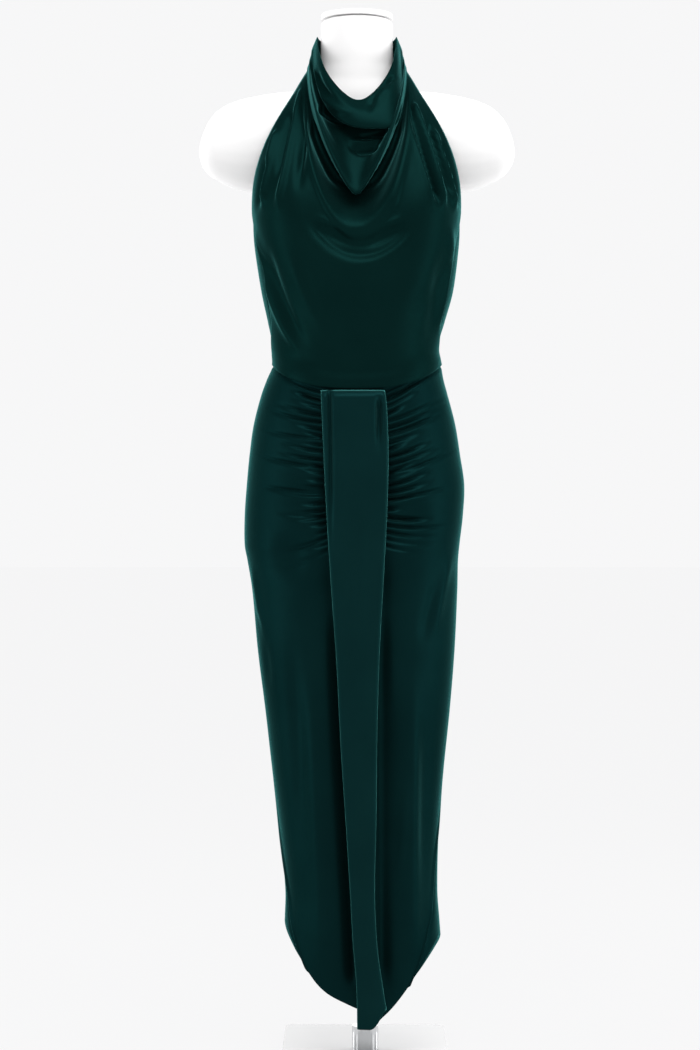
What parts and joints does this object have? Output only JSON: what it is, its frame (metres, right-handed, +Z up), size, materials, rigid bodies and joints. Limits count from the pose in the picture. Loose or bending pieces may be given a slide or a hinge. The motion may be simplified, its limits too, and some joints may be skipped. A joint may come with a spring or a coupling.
{
  "type": "long halter dress on a limbless dress form",
  "caption": "Long dark green jersey halter dress with cowl neck, ruched skirt, hanging front drape and pointed hem, on a limbless dress form with pole and base plate.",
  "frame": {"origin": "centre of the base plate's underside, under the pole", "axes": "+Z up; the dress faces -Y; +X is to the right of someone who looks at its front"},
  "size_m": [0.46, 0.34, 1.508],
  "materials": {
    "jersey": "smooth stretch jersey with a soft satin sheen",
    "covered_button": "button covered in the same jersey",
    "form": "smooth satin white",
    "polished_steel": "polished",
    "base": "smooth pale grey, glossy"
  },
  "bodies": {
    "root": {"bodice_front": "jersey", "bodice_back": "jersey", "neck_band_left": "jersey", "neck_band_right": "jersey", "skirt_front_left": "jersey", "skirt_front_right": "jersey", "skirt_back": "jersey", "front_drape": "jersey", "neck_button_upper": "covered_button", "neck_button_lower": "covered_button", "display_form": "form", "neck_cap": "form", "form_plate": "polished_steel", "pole": "polished_steel", "base_socket": "polished_steel", "base_plate": "base"}
  },
  "joints": []
}
